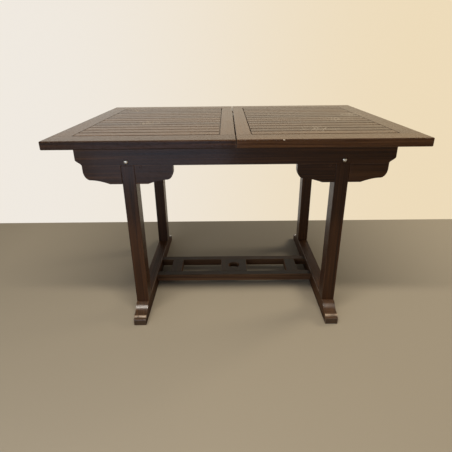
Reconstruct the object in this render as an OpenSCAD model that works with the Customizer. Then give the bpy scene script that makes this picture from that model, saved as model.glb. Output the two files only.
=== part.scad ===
// Extendable garden table in dark stained hardwood, on two trestles, closed, with its leaf stored inside.
// The origin is on the floor under the middle of the top.
// X runs along the table, Y from its front to its rear, and Z up.

/* [Table] */
// Length of the closed table
table_l = 1200; // [1100:10:1400]
// Width of the table
table_w = 900; // [880:5:1000]
// Height of the table
table_h = 735; // [700:5:780]
// Bevel along the edges of the boards
edge_c = 1.5; // [0.5:0.1:3]

/* [Top] */
// Thickness of the rails of the top
top_t = 27; // [22:1:30]
// Bevel around the outer edges of the top
rim_c = 2.5; // [1.5:0.1:4]
// Width of the rail at each end
end_rail_w = 70; // [60:1:90]
// Width of the rails along the sides
side_rail_w = 85; // [60:1:100]
// Width of the rail at each side of the seam
mid_rail_w = 50; // [40:1:60]
// Number of slats across each half
slat_count = 13; // [9:1:15]
// Gap between two slats
slat_gap = 8; // [3:0.5:10]
// Thickness of a slat
slat_t = 18; // [16:1:20]
// Bevel along the edges of the slats and of the frame around them
slat_c = 0.6; // [0.3:0.1:2]
// Thickness of the tongues on the ends of the slats
tongue_t = 8; // [6:1:10]
// Length of the tongues on the ends of the slats
tongue_d = 10; // [6:1:14]
// Gap between the end of a slat and the rail that holds its tongue
slat_end_gap = 2.5; // [0.5:0.1:3]
// Thickness of the tenons of the rails of the top
rail_tenon_t = 8; // [6:1:10]
// Width of the shoulders beside the tenons of the rails of the top
rail_shoulder = 12; // [10:1:14]
// Width of the batten under the slats
batten_w = 40; // [30:1:60]
// Thickness of the batten under the slats
batten_t = 20; // [16:1:22]
// Space between the batten and the guides
batten_gap = 4; // [2:1:8]
// Gap between the two closed halves
seam_gap = 3; // [1:0.5:4]

/* [Aprons] */
// Overhang of the top past each end of the aprons
end_overhang = 44; // [36:1:50]
// Overhang of the top past the face of each apron
side_overhang = 142; // [130:1:150]
// Thickness of the aprons and their brackets
apron_t = 25; // [20:1:28]
// Height of the aprons
apron_h = 86; // [80:1:100]
// Height of the curve at each end of an apron
apron_curve_h = 22; // [14:1:30]
// Depth of the housing that holds a slide ledge
housing_d = 6; // [4:1:10]

/* [Brackets] */
// Width of a bracket, centred on its leg
bracket_w = 318; // [280:2:330]
// Height of a bracket
bracket_h = 67; // [60:1:80]
// Width of the flat stretch under a bracket
bracket_flat = 136; // [100:2:180]
// Rise of the curve beside the flat stretch
bracket_rise = 15; // [10:1:20]
// Sharpness of the curve beside the flat stretch
bracket_curve = 1.7; // [1.2:0.1:2.4]
// Width of the rounded corner of a bracket
corner_w = 24; // [16:1:32]
// Height of the rounded corner of a bracket
corner_h = 34; // [24:1:42]
// Gap between a leg and the bracket beside it
bracket_gap = 0.8; // [0.3:0.1:1.5]
// Width of the block behind a bracket, beside the leg
block_w = 48; // [40:1:60]
// Depth of the block below the apron
block_drop = 33; // [24:1:50]

/* [Legs] */
// Distance from the end of the table to the middle of a leg
leg_inset = 224; // [214:1:260]
// Width of a leg
leg_w = 48; // [42:1:56]
// Depth of a leg
leg_d = 60; // [52:1:68]
// Height of the beam between two legs
bearer_h = 60; // [54:1:80]
// Width of the shoulders around the tenons of the frame
shoulder = 12; // [9:1:14]
// Length of the tenons under the legs
leg_tenon = 35; // [20:1:40]
// Length of the tenons of the beams and rails
rail_tenon = 15; // [10:1:20]
// Space around a tenon
glue_gap = 0.2; // [0.1:0.05:0.4]

/* [Feet] */
// Length of a foot bar
foot_l = 778; // [740:2:820]
// Width of a foot bar
foot_w = 48; // [42:1:60]
// Height of a foot bar
foot_h = 60; // [52:1:70]
// Height of the blunt toe
toe_h = 27; // [20:1:30]
// Length of the blunt toe
toe_l = 13; // [10:1:18]
// Radius of the toe's upper edge
toe_r = 5; // [3:1:8]
// Length of the bead behind the toe
bead_l = 18; // [12:1:24]
// Height of the bead
bead_h = 6; // [4:1:8]
// Height of the step in front of the bead
quirk_h = 3; // [2:0.5:5]

/* [Stretcher] */
// Height of the upper face of the stretcher
stretcher_top = 50; // [44:1:58]
// Thickness of the stretcher
stretcher_t = 32; // [28:1:40]
// Width across the two rails of the stretcher
stretcher_w = 178; // [150:2:220]
// Width of each rail of the stretcher
stretcher_rail_w = 34; // [28:1:44]
// Width of the board with the parasol hole
centre_w = 122; // [90:2:160]
// Thickness of the board with the parasol hole
hole_board_t = 22; // [18:1:28]
// Width of the outer cross pieces
cross_w = 50; // [36:1:70]
// Distance from a foot bar to the outer cross piece beside it
cross_gap = 55; // [46:1:80]
// Diameter of the parasol hole
parasol_d = 52; // [36:1:60]
// Thickness of the tenons of the cross pieces
cross_tenon_t = 11; // [8:1:14]

/* [Slides] */
// Thickness of a runner
runner_t = 21; // [18:1:24]
// Height of a runner
runner_h = 36; // [32:1:40]
// Length of a runner past the seam
runner_tail = 190; // [160:5:240]
// Distance from the end of an apron to the end of a runner
runner_setback = 4; // [2:1:8]
// Wood of a runner over the heads of its screws
runner_web = 22; // [15:1:24]
// Relief over the tail of a runner
relief = 1; // [0.5:0.1:2]
// Thickness of the ledge under the runners
ledge_t = 14; // [12:1:18]
// Distance from the end of an apron to the end of a ledge
ledge_setback = 12; // [6:1:20]
// Thickness of the guide beside the runners
guide_t = 20; // [16:1:24]
// Length of a guide past each end of the stored leaf
guide_past = 2; // [0:0.5:4]
// Height of a guide
guide_h = 31; // [28:1:33]
// Distance from the end of a guide to its outer screws
guide_screw_inset = 22; // [15:1:40]
// Distance from the middle to the inner screws of a guide
guide_screw_x = 150; // [100:10:200]
// Running gap over and under what slides
slide_gap = 0.3; // [0.2:0.1:0.5]
// Running gap beside a runner
side_gap = 0.5; // [0.3:0.1:0.8]
// Gap between the two runners of one side
lane_gap = 2; // [1:0.5:4]
// Thickness of a spline
spline_t = 8; // [6:1:10]
// Depth of a spline in its groove
spline_d = 5; // [4:0.5:6]
// Height of the splines over the ledge
spline_rise = 18; // [16:1:20]
// Diameter of a stop peg
peg_d = 8; // [6:1:9]
// Height of a stop peg over its ledge
peg_h = 8; // [6:1:9]
// Distance from the middle to the stop pegs
peg_x = 320; // [300:5:330]

/* [Leaf] */
// Space between the stored leaf and the guides
leaf_side_gap = 18; // [16:1:40]
// Number of slat places taken by the board with the hole
board_places = 3; // [3:2:5]
// Height of the cleats beside the stored leaf
cleat_h = 6; // [4:0.5:6]
// Width of the cleats beside the stored leaf
cleat_w = 14; // [8:1:16]

/* [Fasteners] */
// Diameter of a seam dowel
dowel_d = 10; // [8:1:12]
// Length of a seam dowel
dowel_l = 30; // [24:1:36]
// Length of a seam dowel that stands out
dowel_out = 14; // [10:1:15]
// Distance from a side rail to the outer seam dowel
dowel_inset = 45; // [30:1:60]
// Distance from the middle to the inner seam dowel
dowel_y2 = 110; // [90:5:120]
// Diameter of a bolt
bolt_d = 6; // [5:0.5:8]
// Length of a bolt under its head
bolt_l = 90; // [86:1:96]
// Diameter of a bolt head
bolt_head_d = 15; // [12:0.5:18]
// Height of a bolt head
bolt_head_h = 4; // [3:0.5:6]
// Distance from the middle of a leg to its bolt
bolt_out = 4; // [0:1:8]
// Height of a bolt over the lower edge of its apron
bolt_up = 13; // [10:1:16]
// Diameter of a barrel nut
nut_d = 10; // [9:0.5:12]
// Length of a barrel nut
nut_l = 24; // [18:1:26]
// Distance from the tip of a bolt to its nut
nut_back = 8; // [6:0.5:10]
// Diameter of a screw
screw_d = 4; // [3:0.5:5]
// Length of a screw
screw_l = 32; // [26:1:34]
// Diameter of a screw head
screw_head_d = 8; // [7:0.5:9]
// Diameter of a plug over a screw
plug_d = 10; // [9.5:0.5:12]
// Thickness of a plug over a screw
plug_t = 6; // [4:1:8]
// Distance from a leg to the middle of a plug
plug_inset = 22; // [16:1:26]
// Wood between a plug and the apron
plug_gap = 1; // [0.5:0.5:3]
// Diameter of a bracket dowel
pin_d = 8; // [6:1:10]
// Length of a bracket dowel
pin_l = 30; // [20:1:36]
// Distance from the middle of a leg to the inner bracket dowels
pin_x1 = 80; // [76:1:90]
// Distance from the middle of a leg to the outer bracket dowels
pin_x2 = 125; // [110:1:126]
// Space between a fastener and its hole
hole_gap = 0.1; // [0.05:0.05:0.3]

/* [Catches] */
// Length of a turn button from its pivot
button_l = 60; // [50:1:64]
// Width of a turn button
button_w = 18; // [12:1:18]
// Thickness of a turn button
button_t = 12; // [8:1:14]
// Distance from the end of the stored leaf to a turn button
button_gap = 11; // [8:1:14]
// Diameter of the head of a turn button's screw
button_head_d = 10; // [9:0.5:12]
// Height of the head of a turn button's screw
button_head_h = 2; // [1.5:0.5:3]
// Wood under the tip of a turn button's screw
button_screw_floor = 2; // [1:0.5:4]
// Distance from the middle to a seam hook
hook_y = 160; // [140:5:170]
// Width of a seam hook
hook_w = 16; // [14:1:20]
// Thickness of a seam hook
hook_t = 3; // [2:0.5:4]
// Diameter of the studs of the seam hooks
stud_d = 8; // [6:0.5:9]
// Diameter of the heads of the studs
stud_head_d = 13; // [11:0.5:15]
// Diameter of the shanks of the studs
shank_d = 4; // [3:0.5:5]
// Length of the shanks of the studs
shank_l = 16; // [12:1:18]
// Height from a seam hook to the rail over it
hook_drop = 6; // [5:0.5:7]

/* [Hidden] */
$fn = 48;

// Colours of the stained wood, the paler inner wood and the metals
stain = "#4a2a1c";
top_stain = "#5a3a2a";
inner_wood = "#7a4f33";
zinc = "#c9c8c4";
brass = "#b08d4c";

// Overlap of a cutting shape with the face that it opens
eps = 1;
// Segments of a curved outline
steps = 16;

// The top
half_l = table_l / 2;
half_w = table_w / 2;
under_z = table_h - top_t;
seam_x = seam_gap / 2;
field_y = half_w - side_rail_w;
slat_x0 = seam_x + mid_rail_w;
slat_x1 = half_l - end_rail_w;
slat_l = slat_x1 - slat_x0;
slat_pitch = (2 * field_y - slat_gap) / slat_count;
slat_w = slat_pitch - slat_gap;
slat_z = table_h - slat_t;
tongue_z = slat_z + (slat_t - tongue_t) / 2;
batten_x = (slat_x0 + slat_x1) / 2;
rail_tenon_z = (top_t - rail_tenon_t) / 2;

// The aprons and the lanes of the runners behind them
apron_l2 = half_l - end_overhang;
face_y = half_w - side_overhang;
apron_in = face_y - apron_t;
apron_top = under_z - slide_gap;
apron_z = apron_top - apron_h;
outer_lane = apron_in - side_gap - runner_t;
inner_lane = outer_lane - lane_gap - runner_t;
guide_out = inner_lane - side_gap;
guide_in = guide_out - guide_t;
guide_l2 = half_w + guide_past;
runner_z = under_z - runner_h;
ledge_top = runner_z - slide_gap;
ledge_z = ledge_top - ledge_t;
ledge_l2 = apron_l2 - ledge_setback;
runner_x1 = apron_l2 - runner_setback;
spline_z = ledge_top + spline_rise;
spline_l2 = guide_l2 - edge_c;
batten_l2 = guide_in - batten_gap;

// The stored leaf, and the travel that makes room for it
leaf_w = 2 * (guide_in - leaf_side_gap);
leaf_z = ledge_z + slide_gap;
leaf_top = leaf_z + top_t;
leaf_slat_z = leaf_top - slat_t;
leaf_tongue_z = leaf_slat_z + (slat_t - tongue_t) / 2;
long_rail_y = leaf_w / 2 - mid_rail_w;
travel = (leaf_w + seam_gap) / 2;

// The legs, feet and stretcher
leg_x = half_l - leg_inset;
leg_in = face_y - leg_d;
toe_y = foot_l / 2;
bead_y = toe_y - toe_l;
bracket_x1 = bracket_w / 2;
block_h = ledge_z - apron_z + block_drop;
foot_in = leg_x - foot_w / 2;
foot_out = leg_x + foot_w / 2;
cross_x = foot_in - cross_gap - cross_w / 2;
stretcher_z = stretcher_top - stretcher_t;
stretcher_in = stretcher_w / 2 - stretcher_rail_w;

// Places of the fasteners
bolt_x = leg_x + bolt_out;
bolt_z = apron_z + bolt_up;
stretcher_bolt_y = (stretcher_w - stretcher_rail_w) / 2;
stretcher_bolt_z = stretcher_z + stretcher_t / 2;
nut_depth = bolt_l - nut_back;
plug_x = leg_x - leg_w / 2 - plug_inset;
plug_z = apron_z - plug_gap - plug_d / 2;
guide_screw_places = [guide_screw_x, guide_l2 - guide_screw_inset];
pin_places = [-pin_x2, -pin_x1, pin_x1, pin_x2];
runner_screw_places = [(slat_x1 + tongue_d + runner_x1) / 2, seam_x + mid_rail_w / 2];
runner_screw_z = under_z - runner_web;
dowel_y1 = field_y - dowel_inset;
dowel_z = under_z + top_t / 2;

// The turn buttons and the seam hooks
button_x = half_w + button_gap + button_w / 2;
button_y = (guide_in + guide_out) / 2;
button_z = ledge_top + slide_gap;
button_screw_z = ledge_z + button_screw_floor;
button_head_z = button_z + button_t + slide_gap;
hook_x = seam_x + mid_rail_w / 2;
hook_z = under_z - hook_drop - hook_t;

// Points on a quarter of an ellipse about c with half axes r, from angle a0 to a1
function arc(c, r, a0, a1) = [for (i = [0:steps]) let (a = a0 + (a1 - a0) * i / steps)
    [c[0] + r[0] * cos(a), c[1] + r[1] * sin(a)]];
// Points on an S-shaped curve from p to q that leaves p and reaches q along the second axis
function ogee(p, q) = [for (i = [0:steps]) let (t = i / steps)
    [p[0] + (q[0] - p[0]) * (1 - cos(180 * t)) / 2, p[1] + (q[1] - p[1]) * t]];
// The same points with the two axes changed over
function swapped(points) = [for (p = points) [p[1], p[0]]];
// The same points mirrored to the other side, in the order that continues an outline
function flipped(points) = [for (i = [len(points) - 1:-1:0]) [-points[i][0], points[i][1]]];
// Extra length of a hole past the face that it opens, and none for the piece that fills it
function past(gap) = gap > 0 ? eps : 0;
// Middle of slat number i across the slats
function slat_middle(i) = (i + 0.5 - slat_count / 2) * slat_pitch;
// Outline of a board with bevelled edges
function eased(w, h, c) = [[c, 0], [w - c, 0], [w, c], [w, h - c], [w - c, h], [c, h], [0, h - c], [0, c]];

// A board along X, Y or Z with bevelled long edges, from its lowest corner
module bar_x(size, c = edge_c) {
    rotate([90, 0, 90]) linear_extrude(size[0]) polygon(eased(size[1], size[2], c));
}
module bar_y(size, c = edge_c) {
    translate([0, size[1], 0]) rotate([90, 0, 0]) linear_extrude(size[1])
        polygon(eased(size[0], size[2], c));
}
module bar_z(size, c = edge_c) {
    linear_extrude(size[2]) polygon(eased(size[0], size[1], c));
}
// A board with bevels along all its edges
module bar_all(size, c = edge_c) {
    intersection() {
        bar_x(size, c);
        bar_y(size, c);
        bar_z(size, c);
    }
}
// A plain block centred on Y
module block_y(x, w, y, z, h) {
    translate([x, -y, z]) cube([w, 2 * y, h]);
}
// A child at the front and at the rear
module both_y() {
    children();
    mirror([0, 1, 0]) children();
}
// A child at the left and at the right
module both_x() {
    children();
    mirror([1, 0, 0]) children();
}
// A child at the right, or at the left where s is negative
module on_side(s) {
    mirror([s < 0 ? 1 : 0, 0, 0]) children();
}
// A child and its copy turned half round
module both_turns() {
    children();
    rotate([0, 0, 180]) children();
}

// Outline of one end of a foot bar in Y and Z, from the top of the bar to the floor
function toe_points() = concat(
    swapped(ogee([foot_h, face_y], [toe_h + quirk_h + bead_h, bead_y - bead_l])),
    arc([bead_y - bead_l, toe_h + quirk_h], [bead_l, bead_h], 90, 0),
    [[bead_y, toe_h]],
    arc([toe_y - toe_r, toe_h - toe_r], [toe_r, toe_r], 90, 0),
    [[toe_y, edge_c], [toe_y - edge_c, 0]]);

// A foot bar on its own middle line, with a mortise under each leg and a hole for each stretcher bolt
module foot_bar(s) {
    outline = concat(toe_points(), flipped(toe_points()));
    color(stain) on_side(s) difference() {
        translate([foot_in, 0, 0]) intersection() {
            rotate([90, 0, 90]) linear_extrude(foot_w) polygon(outline);
            translate([0, -toe_y, 0]) bar_y([foot_w, foot_l, foot_h]);
            translate([0, -toe_y, 0]) bar_z([foot_w, foot_l, foot_h]);
        }
        both_y() {
            leg_tenon_shape(glue_gap);
            stretcher_bore();
        }
    }
}

// Bore of the bolt that ties the right foot bar to the front rail of the stretcher
module stretcher_bore() {
    translate([foot_out + eps, -stretcher_bolt_y, stretcher_bolt_z]) rotate([0, -90, 0])
        cylinder(d = bolt_d + 2 * hole_gap, h = bolt_l + hole_gap + eps);
}

// The tenon under the right front leg, and its mortise with a space around it
module leg_tenon_shape(gap = 0) {
    w = leg_w - 2 * shoulder + 2 * gap;
    d = leg_d - 2 * shoulder + 2 * gap;
    translate([leg_x - w / 2, -face_y + shoulder - gap, foot_h - leg_tenon - gap])
        cube([w, d, leg_tenon + gap + past(gap)]);
}

// A front leg with its tenon, and the tongue that stands behind the apron
module front_leg(s) {
    x = leg_x - leg_w / 2;
    color(stain) on_side(s) difference() {
        union() {
            translate([x, -face_y, foot_h]) bar_z([leg_w, leg_d, apron_z - foot_h]);
            translate([x, -apron_in, apron_z]) cube([leg_w, leg_d - apron_t, ledge_z - apron_z]);
            leg_tenon_shape();
        }
        bearer_tenon(glue_gap);
        bolt_bore();
        translate([x, -face_y, apron_z]) rotate([0, 90, 0]) cylinder(r = edge_c, h = leg_w, $fn = 4);
    }
}

// The beam between the two legs of a trestle
module cross_bearer(s) {
    bearer_z = ledge_z - bearer_h;
    nut_top = bolt_z + nut_l / 2 + hole_gap;
    color(inner_wood) on_side(s) difference() {
        union() {
            translate([leg_x - leg_w / 2, -leg_in, bearer_z]) bar_y([leg_w, 2 * leg_in, bearer_h]);
            both_y() bearer_tenon();
        }
        both_y() {
            bolt_bore();
            translate([bolt_x, -face_y + nut_depth, bearer_z - eps])
                cylinder(d = nut_d + 2 * hole_gap, h = nut_top - bearer_z + eps);
        }
    }
}

// The front tenon of the right cross bearer, or its mortise
module bearer_tenon(gap = 0) {
    w = leg_w - 2 * shoulder + 2 * gap;
    h = bearer_h - 2 * shoulder + 2 * gap;
    translate([leg_x - w / 2, -leg_in - rail_tenon - gap, ledge_z - bearer_h + shoulder - gap])
        cube([w, rail_tenon + gap + past(gap), h]);
}

// Bore of the bolt that ties the front apron, right leg and cross bearer together
module bolt_bore() {
    translate([bolt_x, -face_y - eps, bolt_z]) rotate([-90, 0, 0])
        cylinder(d = bolt_d + 2 * hole_gap, h = bolt_l + eps + hole_gap);
}

// The front apron, with shaped ends, a housing for the ledge and a groove for the spline
module front_apron() {
    right = concat(ogee([leg_x + bracket_x1, 0], [apron_l2, apron_curve_h]), [[apron_l2, apron_h]]);
    color(stain) difference() {
        translate([0, -apron_in, apron_z]) rotate([90, 0, 0]) linear_extrude(apron_t)
            polygon(concat(right, flipped(right)));
        translate([-ledge_l2, -apron_in - housing_d, ledge_z])
            cube([2 * ledge_l2, housing_d + eps, ledge_t]);
        translate([-spline_l2, -apron_in - spline_d, spline_z])
            cube([2 * spline_l2, spline_d + eps, spline_t]);
        both_x() {
            bolt_bore();
            bracket_pins(hole_gap);
        }
    }
}

// Half of the outline of a bracket, from its flat middle to its upper corner
function bracket_points() = concat(
    [for (i = [0:steps]) let (t = i / steps, w = bracket_x1 - corner_w - bracket_flat / 2)
        [bracket_flat / 2 + w * t, bracket_rise * (1 - pow(1 - t, bracket_curve))]],
    arc([bracket_x1 - corner_w, bracket_rise + corner_h], [corner_w, corner_h], -90, 0));

// A front bracket in two pieces, one at each side of the leg
module front_bracket(s) {
    half = concat([[0, 0]], bracket_points(), [[bracket_x1, bracket_h], [0, bracket_h]]);
    color(stain) on_side(s) difference() {
        translate([leg_x, -apron_in, apron_z - bracket_h]) rotate([90, 0, 0]) linear_extrude(apron_t) {
            polygon(half);
            mirror([1, 0]) polygon(half);
        }
        translate([leg_x - leg_w / 2 - bracket_gap, -face_y - eps, apron_z - bracket_h - eps])
            cube([leg_w + 2 * bracket_gap, apron_t + 2 * eps, bracket_h + 2 * eps]);
        bracket_pins(hole_gap);
        plug_screw(hole_gap);
        plug(hole_gap);
    }
}

// The dowels that join the right front bracket to the apron
module bracket_pins(gap = 0) {
    for (x = pin_places) translate([leg_x + x, -face_y + apron_t / 2, apron_z - pin_l / 2 - gap])
        cylinder(d = pin_d + 2 * gap, h = pin_l + 2 * gap);
}

// A screw along Z with its head at the bottom, or its hole
module screw(gap = 0) {
    cylinder(d = screw_d + 2 * gap, h = screw_l + gap);
    cylinder(d1 = screw_head_d + 2 * gap, d2 = screw_d + 2 * gap, h = (screw_head_d - screw_d) / 2);
}

// The screw and the plug in the right front bracket
module plug_screw(gap = 0) {
    translate([plug_x, -face_y + plug_t, plug_z]) rotate([-90, 0, 0]) screw(gap);
}
module plug(gap = 0) {
    translate([plug_x, -face_y - past(gap), plug_z]) rotate([-90, 0, 0])
        cylinder(d = plug_d + 2 * gap, h = plug_t + past(gap));
}

// The block in the right front corner behind the bracket, beside the leg
module corner_block() {
    difference() {
        translate([leg_x - leg_w / 2 - block_w, -apron_in, ledge_z - block_h])
            cube([block_w, leg_d - apron_t, block_h]);
        plug_screw(hole_gap);
    }
}

// The front rail of the stretcher between the foot bars
module front_stretcher_rail() {
    color(stain) difference() {
        translate([-foot_in, -stretcher_w / 2, stretcher_z])
            bar_x([2 * foot_in, stretcher_rail_w, stretcher_t]);
        both_x() {
            stretcher_bore();
            translate([foot_out - nut_depth, -stretcher_bolt_y, stretcher_z - eps])
                cylinder(d = nut_d + 2 * hole_gap, h = stretcher_t / 2 + nut_l / 2 + hole_gap + eps);
        }
        for (x = [-cross_x, cross_x]) cross_tenon(x, cross_w, stretcher_t, glue_gap);
        cross_tenon(0, centre_w, hole_board_t, glue_gap);
    }
}

// Tenons at the front and the rear of a cross piece of the stretcher, in the middle of its thickness t
module cross_tenon(x, w, t, gap = 0) {
    h = cross_tenon_t + 2 * gap;
    length = w - 2 * shoulder + 2 * gap;
    block_y(x - length / 2, length, stretcher_in + rail_tenon + gap, stretcher_top - t / 2 - h / 2, h);
}

// A cross piece between the stretcher rails, level with them at the top
module cross_piece(x, w, t) {
    translate([x - w / 2, -stretcher_in, stretcher_top - t]) bar_y([w, 2 * stretcher_in, t]);
    cross_tenon(x, w, t);
}

// The tenon at each end of a rail of the top, or its mortise
module rail_tenons(x, w, gap = 0) {
    length = w - 2 * rail_shoulder + 2 * gap;
    block_y(x + w / 2 - length / 2, length, field_y + rail_tenon + gap, under_z + rail_tenon_z - gap,
        rail_tenon_t + 2 * gap);
}

// The whole closed top as one block, with the bevel of its rim
module top_block() {
    translate([-half_l, -half_w, under_z]) bar_all([table_l, table_w, top_t], rim_c);
}

// A right side rail, mortised for the end rail and the mid rail
module side_rail() {
    color(top_stain) difference() {
        intersection() {
            translate([seam_x, -half_w, under_z]) bar_all([half_l - seam_x, side_rail_w, top_t], slat_c);
            top_block();
        }
        rail_tenons(slat_x1, end_rail_w, glue_gap);
        rail_tenons(seam_x, mid_rail_w, glue_gap);
    }
}

// The groove that takes the tongues of the slats, at the edge x of a rail
module slat_groove(x) {
    block_y(x - tongue_d - glue_gap, 2 * (tongue_d + glue_gap), field_y, tongue_z - glue_gap,
        tongue_t + 2 * glue_gap);
}

// The right end rail
module end_rail() {
    color(top_stain) difference() {
        intersection() {
            union() {
                translate([slat_x1, -field_y, under_z]) bar_y([end_rail_w, 2 * field_y, top_t], slat_c);
                rail_tenons(slat_x1, end_rail_w);
            }
            top_block();
        }
        slat_groove(slat_x1);
        runner_screws(hole_gap);
    }
}

// The right mid rail, bored for its own dowels and for those of the other half
module mid_rail() {
    color(top_stain) difference() {
        union() {
            translate([seam_x, -field_y, under_z]) bar_y([mid_rail_w, 2 * field_y, top_t]);
            rail_tenons(seam_x, mid_rail_w);
        }
        slat_groove(slat_x0);
        runner_screws(hole_gap);
        seam_dowels(hole_gap);
        for (y = [-dowel_y1, dowel_y2]) translate([seam_x - eps, y, dowel_z]) rotate([0, 90, 0])
            cylinder(d = dowel_d + 2 * side_gap, h = dowel_out + 2 * side_gap + eps);
        for (y = [-hook_y, hook_y]) translate([hook_x, y, 0]) stud_shank(hole_gap);
    }
}

// The two dowels of the right half
module seam_dowels(gap = 0) {
    for (y = [dowel_y1, -dowel_y2]) translate([seam_x + dowel_l - dowel_out + gap, y, dowel_z])
        rotate([0, -90, 0]) cylinder(d = dowel_d + 2 * gap, h = dowel_l + 2 * gap);
}

// The slats of the right half, each with a tongue at both ends
module slats() {
    color(top_stain) difference() {
        for (i = [0:slat_count - 1]) translate([0, slat_middle(i) - slat_w / 2, 0]) {
            translate([slat_x0 + slat_end_gap, 0, slat_z])
                bar_x([slat_l - 2 * slat_end_gap, slat_w, slat_t], slat_c);
            translate([slat_x0 - tongue_d, 0, tongue_z]) cube([slat_l + 2 * tongue_d, slat_w, tongue_t]);
        }
        batten_screw_set(hole_gap);
    }
}

// The batten under the slats of the right half
module batten() {
    color(inner_wood) difference() {
        translate([batten_x - batten_w / 2, -batten_l2, slat_z - batten_t])
            bar_y([batten_w, 2 * batten_l2, batten_t]);
        batten_screw_set(hole_gap);
    }
}

// The screws through the batten into the slats
module batten_screw_set(gap = 0) {
    for (i = [0:slat_count - 1]) if (abs(slat_middle(i)) < batten_l2 - screw_head_d)
        translate([batten_x, slat_middle(i), slat_z - batten_t]) screw(gap);
}

// Middle line of the runner of the right half at the front and at the rear
function runner_y(s) = s < 0 ? -(inner_lane + runner_t / 2) : outer_lane + runner_t / 2;

// The screws through the runners into the rails
module runner_screws(gap = 0) {
    for (s = [-1, 1], x = runner_screw_places) translate([x, runner_y(s), runner_screw_z]) screw(gap);
}

// The two runners of the right half, relieved past the seam, with a groove for the spline and a slot for
// the stop peg
module runners() {
    slot_w = peg_d + 2 * side_gap;
    color(inner_wood) difference() {
        for (s = [-1, 1]) translate([-runner_tail, runner_y(s) - runner_t / 2, runner_z])
            cube([runner_tail + runner_x1, runner_t, runner_h]);
        translate([-runner_tail - eps, -apron_in, under_z - relief])
            cube([runner_tail + seam_x + eps, 2 * apron_in, relief + eps]);
        for (y = [-guide_out - spline_d - side_gap, apron_in - spline_d - side_gap])
            translate([-runner_tail - eps, y, spline_z - side_gap])
                cube([runner_tail + runner_x1 + 2 * eps, spline_d + side_gap + eps,
                    spline_t + 2 * side_gap]);
        for (s = [-1, 1]) translate([peg_x - travel, runner_y(s), runner_z - eps]) {
            translate([0, -slot_w / 2, 0]) cube([travel, slot_w, peg_h + side_gap + eps]);
            for (x = [0, travel]) translate([x, 0, 0]) cylinder(d = slot_w, h = peg_h + side_gap + eps);
        }
        for (s = [-1, 1], x = runner_screw_places) translate([x, runner_y(s), runner_z - eps])
            cylinder(d = screw_head_d + 2 * side_gap, h = runner_h - runner_web + eps);
        runner_screws(hole_gap);
    }
}

// The stop pegs of the right half, standing in the ledges
module pegs(gap = 0) {
    for (s = [-1, 1]) translate([peg_x, runner_y(s), ledge_z - gap])
        cylinder(d = peg_d + 2 * gap, h = ledge_t + peg_h + gap);
}

// The front ledge under the runners, housed in the apron
module front_ledge() {
    translate([-ledge_l2, -apron_in - housing_d, ledge_z])
        cube([2 * ledge_l2, apron_in + housing_d - guide_in, ledge_t]);
}

// The front guide beside the runners
module front_guide() {
    difference() {
        translate([-guide_l2, -guide_out, ledge_top]) bar_z([2 * guide_l2, guide_t, guide_h]);
        translate([-spline_l2, -guide_out - eps, spline_z]) cube([2 * spline_l2, spline_d + eps, spline_t]);
        guide_screws(hole_gap);
    }
}

// The front splines of the apron and of the guide
module front_splines() {
    for (y = [-apron_in - spline_d, -guide_out - spline_d])
        translate([-spline_l2, y, spline_z]) cube([2 * spline_l2, 2 * spline_d, spline_t]);
}

// The screws through the front ledge into its guide
module guide_screws(gap = 0) {
    both_x() for (x = guide_screw_places) translate([x, -button_y, ledge_z]) screw(gap);
}

// A domed bolt along Z, with its head at the bottom
module bolt() {
    cylinder(d = bolt_d, h = bolt_l);
    dome_r = (bolt_head_d * bolt_head_d / 4 + bolt_head_h * bolt_head_h) / (2 * bolt_head_h);
    intersection() {
        translate([0, 0, dome_r - bolt_head_h]) sphere(r = dome_r);
        translate([0, 0, -bolt_head_h]) cylinder(d = bolt_head_d, h = bolt_head_h);
    }
}

// The shank of a hook stud in its rail
module stud_shank(gap = 0) {
    translate([0, 0, under_z]) cylinder(d = shank_d + 2 * gap, h = shank_l + gap);
}

// A stud under a mid rail: a collar over the hook, a round neck through it and a head under it
module stud(collar) {
    neck_z = hook_z - slide_gap;
    stud_shank();
    translate([0, 0, neck_z]) cylinder(d = stud_d, h = under_z - neck_z);
    translate([0, 0, neck_z - hook_t]) cylinder(d = stud_head_d, h = hook_t);
    if (collar) translate([0, 0, hook_z + hook_t + slide_gap])
        cylinder(d = stud_head_d, h = hook_drop - slide_gap);
}

// A seam hook from its pivot along X, with its mouth towards -Y
module hook_blank() {
    reach = 2 * hook_x;
    mouth = stud_d + 2 * side_gap;
    difference() {
        union() {
            cylinder(d = hook_w, h = hook_t);
            translate([0, -hook_w / 2, 0]) cube([reach, hook_w, hook_t]);
            translate([reach, 0, 0]) cylinder(d = hook_w, h = hook_t);
        }
        translate([0, 0, -eps]) cylinder(d = stud_d + 2 * hole_gap, h = hook_t + 2 * eps);
        translate([reach, 0, -eps]) cylinder(d = mouth, h = hook_t + 2 * eps);
        translate([reach - mouth / 2, -hook_w, -eps]) cube([mouth, hook_w, hook_t + 2 * eps]);
    }
}

// The turn button at the right end of the front ledge, pointing away from the leaf
module turn_button() {
    color(inner_wood) translate([button_x, -button_y, button_z]) difference() {
        union() {
            cylinder(d = button_w, h = button_t);
            translate([0, -button_w / 2, 0]) cube([button_l - button_w / 2, button_w, button_t]);
            translate([button_l - button_w / 2, 0, 0]) cylinder(d = button_w, h = button_t);
        }
        translate([0, 0, -eps]) cylinder(d = screw_d + 2 * hole_gap, h = button_t + 2 * eps);
    }
}

// The pivot screw of the right turn button, or its hole
module button_screw(gap = 0) {
    translate([button_x, -button_y, button_screw_z - gap])
        cylinder(d = screw_d + 2 * gap, h = button_head_z - button_screw_z + gap);
    translate([button_x, -button_y, button_head_z]) cylinder(d = button_head_d, h = button_head_h);
}

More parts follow.
